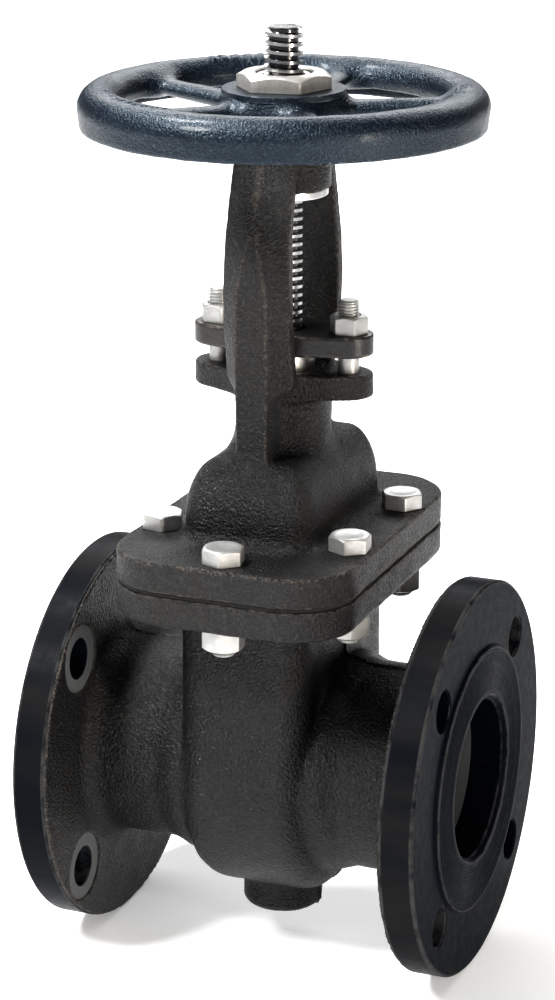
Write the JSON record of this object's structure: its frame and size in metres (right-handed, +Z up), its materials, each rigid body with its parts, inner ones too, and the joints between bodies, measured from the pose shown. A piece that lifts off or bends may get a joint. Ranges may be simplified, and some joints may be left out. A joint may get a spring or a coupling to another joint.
{
  "type": "flanged rising-stem gate valve",
  "caption": "Bolted-bonnet gate valve with flanged ends, outside screw and yoke, rising stem and handwheel, shown closed.",
  "frame": {"origin": "under the stem, at the lowest point of the end flanges, midway between the two raised faces", "axes": "+Z up along the stem, +X along the pipe towards the outlet flange, +Y across the pipe"},
  "size_m": [0.2032, 0.1904, 0.4478],
  "materials": {
    "painted_iron": "rough sand-cast surface under black paint",
    "wheel_enamel": "slate-blue hammered enamel",
    "zinc": "zinc plated",
    "stem_steel": "turned and polished",
    "nut_steel": "raw machined",
    "bronze": "machined bronze",
    "wedge_iron": "bare casting",
    "gland_iron": "smooth black paint",
    "gasket": "graphite sheet",
    "packing": "braided graphite"
  },
  "bodies": {
    "valve": {"body": "painted_iron", "inlet_seat_ring": "bronze", "outlet_seat_ring": "bronze", "body_gasket": "gasket", "bonnet": "painted_iron", "bonnet_bolts": "zinc", "bonnet_nuts": "zinc", "backseat_bushing": "bronze", "packing_ring_1": "packing", "packing_ring_2": "packing", "packing_ring_3": "packing", "packing_ring_4": "packing", "packing_ring_5": "packing", "gland_studs": "zinc"},
    "gland": {"gland_bushing": "nut_steel", "gland_flange": "gland_iron", "gland_nuts": "zinc"},
    "wheel": {"yoke_sleeve": "nut_steel", "handwheel": "wheel_enamel", "handwheel_key": "nut_steel", "handwheel_nut": "nut_steel"},
    "gate": {"stem": "stem_steel", "wedge": "wedge_iron", "wedge_ring_inlet": "bronze", "wedge_ring_outlet": "bronze"}
  },
  "joints": [
    {"name": "handwheel_spin", "type": "hinge", "parent": "valve", "child": "wheel", "pos_m": [0, 0, 0.41], "axis": [0, 0, 1], "range_deg": [0, 7560]},
    {"name": "stem_lift", "type": "slide", "parent": "valve", "child": "gate", "axis": [0, 0, 1], "range_m": [0, 0.084]},
    {"name": "gland_slide", "type": "slide", "parent": "valve", "child": "gland", "axis": [0, 0, 1], "range_m": [0, 0.007]}
  ],
  "couplings": [
    {"joint": "stem_lift", "follows": "handwheel_spin", "m_per_rad": 0.00063662}
  ]
}
